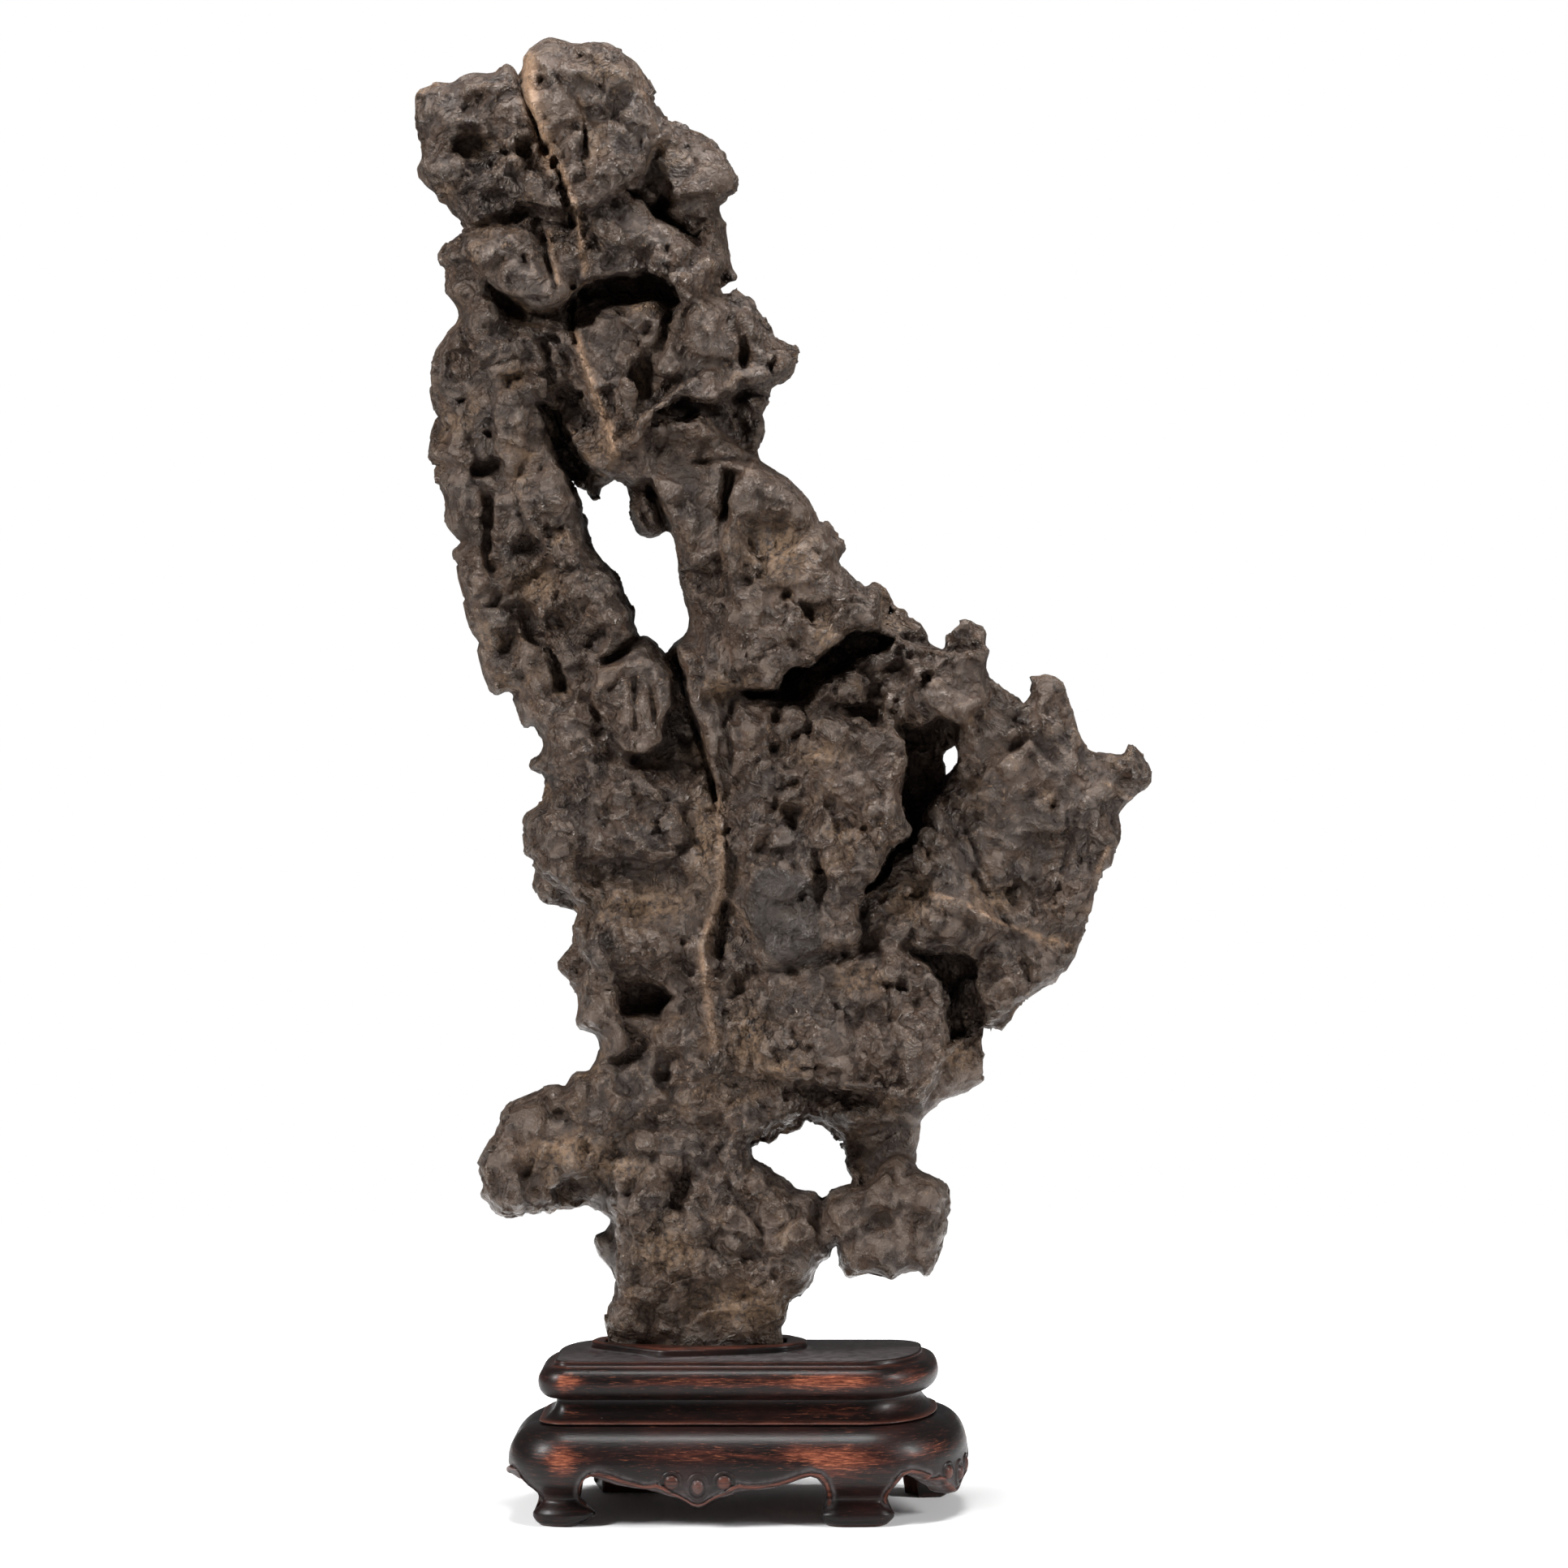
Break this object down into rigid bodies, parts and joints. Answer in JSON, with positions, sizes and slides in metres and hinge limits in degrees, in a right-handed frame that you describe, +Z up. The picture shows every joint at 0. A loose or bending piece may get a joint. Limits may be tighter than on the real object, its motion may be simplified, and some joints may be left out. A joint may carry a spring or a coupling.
{
  "type": "scholars rock on stand",
  "caption": "Upright scholars rock with ledges, caves and see-through openings, its foot set in the collar of a carved, moulded wooden stand.",
  "frame": {"origin": "middle of the bounding box, on the surface that the stand's feet rest on", "axes": "+Z up, along the object's longest extent; +X to the right as seen from the front; +Y from the front to the back, the shortest extent"},
  "size_m": [0.272, 0.0902, 0.5422],
  "materials": {
    "stone": "dark brown-grey natural stone, dull, with a faint waxy sheen on the ridges",
    "wood": "near-black brown lacquer, rubbed through to red-brown on the convex mouldings"
  },
  "bodies": {
    "root": {"rock": "stone", "stand": "wood"}
  },
  "joints": []
}
